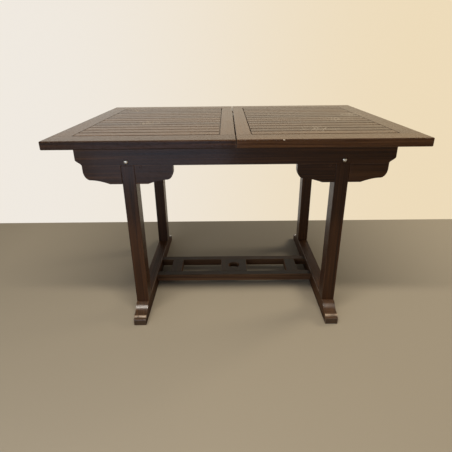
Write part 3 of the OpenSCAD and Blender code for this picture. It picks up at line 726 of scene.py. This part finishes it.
ZINC = MetalFinish("zinc_plate", "zinc_steel", (0.66, 0.64, 0.59), (0.42, 0.40, 0.36), 0.24)
BRASS = MetalFinish("dull_brass", "brass", (0.69, 0.52, 0.26), (0.36, 0.26, 0.14), 0.30)

Finish = WoodFinish | MetalFinish


@cache
def material_of(finish: Finish) -> bpy.types.Material:
    """The material of a finish, which is built the first time."""
    return finish.material()


def whole_faces(node: str) -> bpy.types.Mesh:
    """A copy of a CAD node's mesh in which flat faces are whole.

    Args:
        node: the CAD node.

    Returns:
        The new mesh.
    """
    work = bmesh.new()
    work.from_mesh(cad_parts[node].data)
    bmesh.ops.remove_doubles(work, verts=work.verts[:], dist=WELD)
    bmesh.ops.dissolve_limit(work, angle_limit=FLAT, verts=work.verts[:], edges=work.edges[:])
    for face in work.faces:
        face.smooth = True
        face.material_index = 0
    mesh = bpy.data.meshes.new(node)
    work.to_mesh(mesh)
    work.free()
    return mesh


def applied(piece: bpy.types.Object) -> None:
    """Puts the result of a piece's modifiers into its mesh.

    Args:
        piece: the piece, which is in the scene.
    """
    shown = piece.evaluated_get(bpy.context.evaluated_depsgraph_get())
    mesh = bpy.data.meshes.new_from_object(shown)
    piece.modifiers.clear()
    piece.data = mesh


def round_edges(piece: bpy.types.Object, width: float, segments: int) -> None:
    """Rounds the sharp edges of a piece, with flat faces that stay flat.

    Args:
        piece: the piece, which is in the scene.
        width: how far the rounding reaches from the edge.
        segments: how many faces it has.
    """
    bevel = piece.modifiers.new("rounding", "BEVEL")
    bevel.width = width
    bevel.segments = segments
    bevel.limit_method = "ANGLE"
    bevel.angle_limit = SHARP
    bevel.use_clamp_overlap = True
    piece.modifiers.new("normals", "WEIGHTED_NORMAL")
    applied(piece)


def points_of(mesh: bpy.types.Mesh) -> np.ndarray:
    """The places of a mesh's vertices.

    Args:
        mesh: the mesh.

    Returns:
        One row for each vertex.
    """
    flat = np.empty(len(mesh.vertices) * 3, np.float32)
    mesh.vertices.foreach_get("co", flat)
    return flat.reshape(-1, 3).astype(float)


def solids_of(mesh: bpy.types.Mesh) -> list[np.ndarray]:
    """The vertices of each separate solid in a mesh.

    Args:
        mesh: the mesh.

    Returns:
        The numbers of each solid's vertices, with the solids in order of their places.
    """
    owner = list(range(len(mesh.vertices)))

    def root(i: int) -> int:
        """Follows a vertex to the one that stands for its solid.

        Args:
            i: the number of the vertex.

        Returns:
            The number of the one that stands for the solid.
        """
        while owner[i] != i:
            owner[i] = owner[owner[i]]
            i = owner[i]
        return i

    for edge in mesh.edges:
        a, b = edge.vertices
        owner[root(a)] = root(b)
    roots = np.array([root(i) for i in range(len(owner))])
    places = points_of(mesh)
    groups = [np.flatnonzero(roots == r) for r in np.unique(roots)]
    return sorted(groups, key=lambda group: tuple(np.round(places[group].mean(0), 3)))


def set_attribute(mesh: bpy.types.Mesh, name: str, kind: str, domain: str, values: np.ndarray) -> None:
    """Stores values in a mesh for its shader.

    Args:
        mesh: the mesh.
        name: the attribute's name.
        kind: FLOAT or FLOAT_VECTOR.
        domain: POINT or FACE.
        values: one row for each point or face.
    """
    attribute = mesh.attributes.new(name, kind, domain)
    key = "vector" if kind == "FLOAT_VECTOR" else "value"
    attribute.data.foreach_set(key, values.astype(np.float32).ravel())


# Where in the log a board was sawn: millimetres from the pith, radians round it and metres along it
PITH_MM = (35, 110)
PITH_TURN = (-0.9, 0.9)
LOG_START = (-4, 4)
# A face whose normal is this much along the grain is an end face
END_FACING = 0.75


def mark_boards(mesh: bpy.types.Mesh, name: str, lie: Lie) -> int:
    """Gives each board of a mesh its own place in the log, so that no two boards look alike.

    Args:
        mesh: the mesh.
        name: seeds the choice.
        lie: the direction of the grain.

    Returns:
        The number of boards.
    """
    dice = random.Random(name)
    places = points_of(mesh)
    grain, middle, half = (np.zeros_like(places) for _ in range(3))
    tone = np.zeros(len(places))
    axis_of = np.zeros(len(places), int)
    boards = solids_of(mesh)
    for board in boards:
        low, high = places[board].min(0), places[board].max(0)
        size = high - low
        axis = int(np.argmax(size)) if lie is Lie.LONGEST else lie.value
        others = sorted((i for i in range(3) if i != axis), key=lambda i: -size[i])
        order = [axis, *others]
        local = (places[board] - (low + high) / 2)[:, order]
        pith = dice.uniform(*PITH_MM) * MM
        turn = dice.uniform(*PITH_TURN)
        grain[board] = local + (dice.uniform(*LOG_START), pith * math.sin(turn), pith * math.cos(turn))
        middle[board] = local
        half[board] = size[order] / 2
        tone[board] = dice.random()
        axis_of[board] = axis
    set_attribute(mesh, "grain", "FLOAT_VECTOR", "POINT", grain)
    set_attribute(mesh, "middle", "FLOAT_VECTOR", "POINT", middle)
    set_attribute(mesh, "half", "FLOAT_VECTOR", "POINT", half)
    set_attribute(mesh, "tone", "FLOAT", "POINT", tone)
    ends = [abs(face.normal[axis_of[face.vertices[0]]]) > END_FACING for face in mesh.polygons]
    set_attribute(mesh, "end", "FLOAT", "FACE", np.array(ends, float))
    return len(boards)


@dataclass
class Assembly:
    """Pieces of the table that one body carries."""

    body: str = "base"
    # Reach and number of faces of the rounding along the edges of the boards
    rounding: float = 0.7 * MM
    rounding_faces: int = 2

    def dress(self, node: str, finish: Finish, lie: Lie = Lie.LONGEST) -> bpy.types.Object:
        """Makes the finished piece that stands for a CAD node.

        Args:
            node: the CAD node.
            finish: its finish.
            lie: the direction of its grain.

        Returns:
            The piece.
        """
        piece = bpy.data.objects.new(f"{node}_finished", whole_faces(node))
        bpy.context.scene.collection.objects.link(piece)
        round_edges(piece, self.rounding, self.rounding_faces)
        boards = mark_boards(piece.data, node, lie)
        faces = len(piece.data.polygons)
        self.hand_over(piece, finish, self.body, node)
        log.info("%s: %d solids, %d faces, on %s", piece.name, boards, faces, self.body)
        return piece

    @staticmethod
    def hand_over(piece: bpy.types.Object, finish: Finish, body: str, node: str) -> None:
        """Paints a piece and puts it in its CAD node's place.

        Args:
            piece: the piece.
            finish: its finish.
            body: the body that it rides on.
            node: the CAD node that it stands for.
        """
        piece.data.materials.clear()
        piece.data.materials.append(material_of(finish))
        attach(piece, body)
        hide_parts(node)


@dataclass
class Trestle(Assembly):
    """One pair of legs with its foot bar and cross bearer."""

    side: Side = Side.LEFT
    # The foot bars are worn rounder than the rest
    foot_rounding: float = 1.6 * MM
    foot_rounding_faces: int = 4

    def build(self) -> None:
        """Makes the trestle's pieces."""
        end = self.side.value
        feet = Assembly(rounding=self.foot_rounding, rounding_faces=self.foot_rounding_faces)
        feet.dress(f"foot_bar_{end}", FOOT_WOOD)
        self.dress(f"leg_front_{end}", FRAME_WOOD)
        self.dress(f"leg_rear_{end}", FRAME_WOOD)
        self.dress(f"cross_bearer_{end}", INNER_WOOD)


@dataclass
class Aprons(Assembly):
    """The two aprons, with their brackets, plugs, blocks and dowels."""

    def build(self) -> None:
        """Makes the pieces of both sides."""
        for face in ("front", "rear"):
            self.dress(f"apron_{face}", FRAME_WOOD)
            for side in Side:
                self.dress(f"bracket_{face}_{side.value}", FRAME_WOOD, Lie.ALONG_X)
        self.dress("bracket_plugs", FRAME_WOOD, Lie.ALONG_X)
        self.dress("corner_blocks", INNER_WOOD, Lie.ALONG_Z)
        self.dress("bracket_dowels", INNER_WOOD)


@dataclass
class Stretcher(Assembly):
    """The frame between the foot bars, with the parasol hole."""

    def build(self) -> None:
        """Makes the rails, the cross pieces and the board with the hole."""
        for name in ("rail_front", "rail_rear", "cross_left", "cross_right", "hole_board"):
            self.dress(f"stretcher_{name}", LOW_WOOD)


@dataclass
class Slides(Assembly):
    """What carries and guides the runners, and what holds the stored leaf sideways."""

    def build(self) -> None:
        """Makes the ledges, guides, splines, pegs and cleats."""
        for node in ("slide_ledges", "slide_guides", "slide_splines", "stop_pegs", "leaf_cleats"):
            self.dress(node, INNER_WOOD)


@dataclass
class TopHalf(Assembly):
    """One sliding half of the top."""

    rounding: float = 0.4 * MM
    side: Side = Side.LEFT

    def build(self) -> None:
        """Makes the rails, slats, batten, runners and dowels."""
        end = self.side.value
        self.body = f"{end}_half"
        for name in ("end_rail", "side_rail_front", "side_rail_rear", "mid_rail"):
            self.dress(f"{end}_{name}", TOP_WOOD)
        self.dress(f"{end}_slats", TOP_WOOD, Lie.ALONG_X)
        for name in ("batten", "runners", "dowels"):
            self.dress(f"{end}_{name}", INNER_WOOD)


@dataclass
class Leaf(Assembly):
    """The extension leaf in its store under the top."""

    body: str = "leaf"

    def build(self) -> None:
        """Makes the rails, slats, board and dowels."""
        for name in ("long_rails", "end_rails", "slats", "hole_board"):
            self.dress(f"leaf_{name}", TOP_WOOD)
        self.dress("leaf_dowels", INNER_WOOD)


@dataclass
class Catches(Assembly):
    """The turn buttons of the stored leaf and the hooks of the seam."""

    def build(self) -> None:
        """Makes the buttons, hooks and studs."""
        for side in Side:
            self.body = f"button_{side.value}"
            self.dress(f"leaf_button_{side.value}", INNER_WOOD)
        for face in ("front", "rear"):
            self.body = f"hook_{face}"
            self.dress(f"seam_hook_{face}", BRASS)
        self.body = "left_half"
        self.dress("hook_pivots", BRASS)
        self.body = "right_half"
        self.dress("hook_catches", BRASS)


@dataclass(frozen=True)
class Fastener:
    """A turned fastener along +Z with its head at the top, at Z = 0.

    outline runs from the middle of the head to the tip, as pairs of radius and height.
    """

    outline: tuple[tuple[float, float], ...]
    recess: Recess
    recess_w: float
    recess_d: float
    sides: int = 32
    # Length of a cross's arms for their width, and of a slot's cutter, which runs past the head
    cross_reach: float = 3.2
    slot_reach: float = 33.5 * MM

    def mesh(self, name: str) -> bpy.types.Mesh:
        """Turns the outline and cuts the recess.

        Args:
            name: the mesh's name.

        Returns:
            The mesh.
        """
        body = bpy.data.objects.new(name, self._turned(name))
        bpy.context.scene.collection.objects.link(body)
        for cutter in self._cutters(name):
            cut = body.modifiers.new("recess", "BOOLEAN")
            cut.object = cutter
            cut.solver = "EXACT"
        cutters = [cut.object for cut in body.modifiers]
        applied(body)
        mesh = body.data
        for piece in (body, *cutters):
            bpy.data.objects.remove(piece)
        return mesh

    def _turned(self, name: str) -> bpy.types.Mesh:
        """The closed solid of the outline turned about Z.

        Args:
            name: the mesh's name.

        Returns:
            The mesh.
        """
        work = bmesh.new()
        turns = [math.tau * i / self.sides for i in range(self.sides)]
        rings = []
        for radius, height in self.outline:
            places = [(radius * math.cos(turn), radius * math.sin(turn), height) for turn in turns]
            rings.append([work.verts.new(place) for place in places])
        for upper, lower in zip(rings, rings[1:]):
            for i in range(self.sides):
                j = (i + 1) % self.sides
                work.faces.new((upper[i], lower[i], lower[j], upper[j]))
        work.faces.new(rings[0])
        work.faces.new(reversed(rings[-1]))
        for face in work.faces:
            face.smooth = len(face.verts) == 4
        mesh = bpy.data.meshes.new(name)
        work.to_mesh(mesh)
        work.free()
        return mesh

    def _cutters(self, name: str) -> list[bpy.types.Object]:
        """The solids that cut the recess, in the scene.

        Args:
            name: what their names start with.

        Returns:
            The cutters.
        """
        w, d = self.recess_w, self.recess_d
        if self.recess is Recess.HEX:
            corner = w / math.sqrt(3)
            work = bmesh.new()
            bmesh.ops.create_cone(
                work,
                cap_ends=True,
                segments=6,
                radius1=corner,
                radius2=corner,
                depth=2 * d,
            )
            return [self._cutter(f"{name}_cutter", work)]
        arm = self.cross_reach * w
        bars = [(self.slot_reach, w)] if self.recess is Recess.SLOT else [(arm, w), (w, arm)]
        cutters = []
        for i, (x, y) in enumerate(bars):
            work = bmesh.new()
            bmesh.ops.create_cube(work, size=1.0)
            bmesh.ops.scale(work, vec=(x, y, 2 * d), verts=work.verts[:])
            cutters.append(self._cutter(f"{name}_cutter_{i}", work))
        return cutters

    def _cutter(self, name: str, work: bmesh.types.BMesh) -> bpy.types.Object:
        """Puts a cutter's mesh in the scene.

        Args:
            name: the object's name.
            work: its mesh.

        Returns:
            The cutter.
        """
        mesh = bpy.data.meshes.new(name)
        work.to_mesh(mesh)
        work.free()
        piece = bpy.data.objects.new(name, mesh)
        piece.location.z = max(z for _, z in self.outline)
        bpy.context.scene.collection.objects.link(piece)
        return piece


@dataclass
class Hardware(Assembly):
    """The bolts, nuts and screws of the table."""

    bolt_d: float = 6 * MM
    bolt_l: float = 90 * MM
    bolt_head_d: float = 15 * MM
    bolt_head_h: float = 4 * MM
    bolt_neck: float = 0.4 * MM
    bolt_sides: int = 48
    dome_rings: int = 8
    socket_w: float = 4 * MM
    socket_d: float = 2.4 * MM
    screw_d: float = 4 * MM
    screw_l: float = 32 * MM
    screw_head_d: float = 8 * MM
    # Inset and height of the rim of a screw's head, and length and radius of its point
    screw_rim_inset: float = 0.2 * MM
    screw_rim_h: float = 0.15 * MM
    screw_point_l: float = 5 * MM
    screw_point_r: float = 0.4 * MM
    cross_w: float = 1.0 * MM
    cross_d: float = 1.8 * MM
    nut_d: float = 10 * MM
    nut_l: float = 24 * MM
    slot_w: float = 1.4 * MM
    slot_d: float = 1.6 * MM
    # How far the ends of bolts and nuts are bevelled
    ease: float = 0.5 * MM

    def build(self) -> None:
        """Makes every fastener where the frame has one."""
        bolt, screw, nut = self.bolt(), self.screw(), self.nut()
        self.place("frame_bolts", bolt, "base")
        self.place("barrel_nuts", nut, "base")
        self.place("frame_screws", screw, "base")
        self.place("left_screws", screw, "left_half")
        self.place("right_screws", screw, "right_half")
        self.dress("button_screws", BRASS)

    def bolt(self) -> Fastener:
        """The domed bolt with a hexagonal socket.

        Returns:
            The bolt.
        """
        r, h = self.bolt_head_d / 2, self.bolt_head_h
        dome_r = (r * r + h * h) / (2 * h)
        dome = []
        for i in range(1, self.dome_rings + 1):
            x = r * i / self.dome_rings
            dome.append((x, math.sqrt(dome_r * dome_r - x * x) - dome_r))
        shank = self.bolt_d / 2
        tip = -h - self.bolt_l
        outline = (
            *dome,
            (shank + self.bolt_neck, -h),
            (shank, -h - self.bolt_neck),
            (shank, tip + self.ease),
            (shank - self.ease, tip),
        )
        return Fastener(outline, Recess.HEX, self.socket_w, self.socket_d, self.bolt_sides)

    def screw(self) -> Fastener:
        """The countersunk screw with a cross in its head.

        Returns:
            The screw.
        """
        r, shank = self.screw_head_d / 2, self.screw_d / 2
        outline = (
            (r - self.screw_rim_inset, 0.0),
            (r, -self.screw_rim_h),
            (shank, -(r - shank) - self.screw_rim_h),
            (shank, -self.screw_l + self.screw_point_l),
            (self.screw_point_r, -self.screw_l),
        )
        return Fastener(outline, Recess.CROSS, self.cross_w, self.cross_d)

    def nut(self) -> Fastener:
        """The barrel nut with a slot across its end.

        Returns:
            The nut.
        """
        r = self.nut_d / 2
        outline = (
            (r - self.ease, 0.0),
            (r, -self.ease),
            (r, self.ease - self.nut_l),
            (r - self.ease, -self.nut_l),
        )
        return Fastener(outline, Recess.SLOT, self.slot_w, self.slot_d)

    def place(self, node: str, fastener: Fastener, body: str) -> None:
        """Puts a fastener at each solid of a CAD node.

        Args:
            node: the CAD node.
            fastener: the fastener.
            body: the body that it rides on.
        """
        welded = whole_faces(node)
        places = points_of(welded)
        pattern = fastener.mesh(f"{node}_pattern")
        work = bmesh.new()
        seats = [self.seat(places[solid]) for solid in solids_of(welded)]
        for seat in seats:
            first = len(work.verts)
            work.from_mesh(pattern)
            work.verts.ensure_lookup_table()
            bmesh.ops.transform(work, matrix=seat, verts=work.verts[first:])
        made = bpy.data.meshes.new(node)
        work.to_mesh(made)
        work.free()
        piece = bpy.data.objects.new(f"{node}_finished", made)
        bpy.context.scene.collection.objects.link(piece)
        self.hand_over(piece, ZINC, body, node)
        log.info("%s: %d fasteners, %d faces, on %s", piece.name, len(seats), len(made.polygons), body)

    @staticmethod
    def seat(places: np.ndarray) -> Matrix:
        """Where a fastener's solid has the top of its head, and which way it points.

        Args:
            places: the points of the solid.

        Returns:
            The matrix that takes a fastener along +Z there.
        """
        low, high = places.min(0), places.max(0)
        axis = int(np.argmax(high - low))
        across = [i for i in range(3) if i != axis]
        middle = (low + high) / 2
        reach = np.linalg.norm(places[:, across] - middle[across], axis=1)
        upper = places[:, axis] > middle[axis]
        up = reach[upper].max() >= reach[~upper].max() - WELD
        head = middle.copy()
        head[axis] = high[axis] if up else low[axis]
        direction = Vector([(1.0 if up else -1.0) if i == axis else 0.0 for i in range(3)])
        turn = direction.to_track_quat("Z", "Y").to_matrix().to_4x4()
        return Matrix.Translation(Vector(head)) @ turn


@dataclass(frozen=True)
class Lamp:
    """A soft lamp. Its size is its length along X and its depth."""

    name: str
    place: tuple[float, float, float]
    target: tuple[float, float, float]
    power: float
    size: tuple[float, float]
    colour: Colour = (1.0, 1.0, 1.0)

    def hang(self) -> None:
        """Puts the lamp in the scene."""
        data = bpy.data.lights.new(self.name, "AREA")
        data.energy = self.power
        data.shape = "RECTANGLE"
        data.size, data.size_y = self.size
        data.color = self.colour
        lamp = bpy.data.objects.new(self.name, data)
        lamp.location = self.place
        aim = Vector(self.target) - Vector(self.place)
        lamp.rotation_euler = aim.to_track_quat("-Z", "Y").to_euler()
        lamp.visible_camera = False
        bpy.context.scene.collection.objects.link(lamp)


@dataclass
class Studio:
    """A pale floor, soft light and the camera at the photograph's angle."""

    # How far the floor reaches to each side and to the front, and to the rear
    floor_reach: float = 6.0
    floor_back: float = 0.66
    floor_colour: Colour = (0.34, 0.285, 0.205)
    floor_roughness: float = 0.9
    # The pale backdrop at the left and at the right, and the dark that reflections see above it
    backdrop_left: Colour = (0.87, 0.82, 0.75)
    backdrop_right: Colour = (0.85, 0.71, 0.49)
    above: Colour = (0.18, 0.16, 0.13)
    # Directions, to the right and upward, between which the backdrop changes its colour
    turn_at: tuple[float, float] = (-0.5, 0.5)
    above_at: tuple[float, float] = (0.35, 0.6)
    sky_strength: float = 0.12
    lamps: tuple[Lamp, ...] = (
        Lamp("key", (-0.2, -1.5, 3.0), (-0.1, 0.0, 0.5), 82.0, (2.8, 0.22), (1.0, 0.94, 0.84)),
        Lamp("fill_left", (-2.0, -2.2, 0.9), (-0.4, 0.0, 0.4), 16.0, (1.6, 1.6), (0.80, 0.89, 1.0)),
        Lamp("low_left", (-0.55, -2.0, 0.35), (-0.5, 0.0, 0.4), 7.5, (1.1, 0.6), (0.62, 0.74, 1.0)),
        Lamp("right", (2.8, 0.9, 2.0), (0.5, 0.1, 0.0), 38.0, (1.2, 1.2), (1.0, 0.92, 0.76)),
        Lamp("rear", (0.0, 2.1, 0.28), (0.0, 0.0, 0.5), 10.0, (2.6, 0.3), (1.0, 0.95, 0.86)),
    )
    # The camera, worked out from corners of the table in the photograph, with its angles in degrees
    lens: float = 30.325
    camera_place: tuple[float, float, float] = (-0.02875, -1.60692, 0.95726)
    camera_down: float = 23.629
    camera_turn: float = -0.2458
    camera_roll: float = -0.6165

    def build(self) -> None:
        """Makes the studio."""
        self.floor()
        self.sky()
        for lamp in self.lamps:
            lamp.hang()
        self.camera()
        bpy.context.scene.view_settings.view_transform = "Standard"

    def floor(self) -> None:
        """Lays the plain floor."""
        reach, back = self.floor_reach, self.floor_back
        mesh = bpy.data.meshes.new("floor")
        corners = [(-reach, -reach, 0.0), (reach, -reach, 0.0), (reach, back, 0.0), (-reach, back, 0.0)]
        mesh.from_pydata(corners, [], [(0, 1, 2, 3)])
        floor = bpy.data.objects.new("floor", mesh)
        bpy.context.scene.collection.objects.link(floor)
        paint = bpy.data.materials.new("plain_floor")
        Shader(paint).surface(Base_Color=self.floor_colour, Roughness=self.floor_roughness)
        mesh.materials.append(paint)

    def sky(self) -> None:
        """Gives the world its light, and the pale backdrop that the camera and reflections see."""
        world = bpy.data.worlds.new("studio")
        bpy.context.scene.world = world
        s = Shader(world)
        side, _, height = s.add("ShaderNodeTexCoord", {}, output="Generated").parts()
        backdrop = s.mix(self.backdrop_left, self.backdrop_right, side.smooth(*self.turn_at))
        backdrop = s.mix(backdrop, self.above, height.smooth(*self.above_at))
        light = s.add("ShaderNodeBackground", {}, {"Color": 1.0, "Strength": self.sky_strength})
        pale = s.add("ShaderNodeBackground", {}, {"Color": backdrop})
        rays = ("Is Camera Ray", "Is Glossy Ray", "Is Transmission Ray")
        camera, glossy, through = (s.add("ShaderNodeLightPath", {}, output=ray) for ray in rays)
        seen = camera.do("MAXIMUM", glossy).do("MAXIMUM", through)
        both = s.add("ShaderNodeMixShader", {}, {0: seen, 1: light, 2: pale})
        s.place("ShaderNodeOutputWorld", {}, {"Surface": both})

    def camera(self) -> None:
        """Sets the camera up."""
        down = math.radians(self.camera_down)
        turn = math.radians(self.camera_turn)
        roll = math.radians(self.camera_roll)
        flat = math.cos(down)
        ahead = Vector((math.sin(turn) * flat, math.cos(turn) * flat, -math.sin(down)))
        level = Vector((math.cos(turn), -math.sin(turn), 0.0))
        upright = level.cross(ahead)
        right = level * math.cos(roll) + upright * math.sin(roll)
        up = upright * math.cos(roll) - level * math.sin(roll)
        data = bpy.data.cameras.new("camera")
        data.lens = self.lens
        camera = bpy.data.objects.new("camera", data)
        axes = Matrix((right, up, -ahead)).transposed().to_4x4()
        camera.matrix_world = Matrix.Translation(self.camera_place) @ axes
        bpy.context.scene.collection.objects.link(camera)
        bpy.context.scene.camera = camera


def main() -> None:
    """Builds the studio and every assembly of the table."""
    logging.basicConfig(level=logging.INFO, format="%(message)s")
    Studio().build()
    for side in Side:
        Trestle(side=side).build()
        TopHalf(side=side).build()
    Aprons().build()
    Stretcher().build()
    Slides().build()
    Leaf().build()
    Catches().build()
    Hardware().build()


if __name__ == "__main__":
    main()
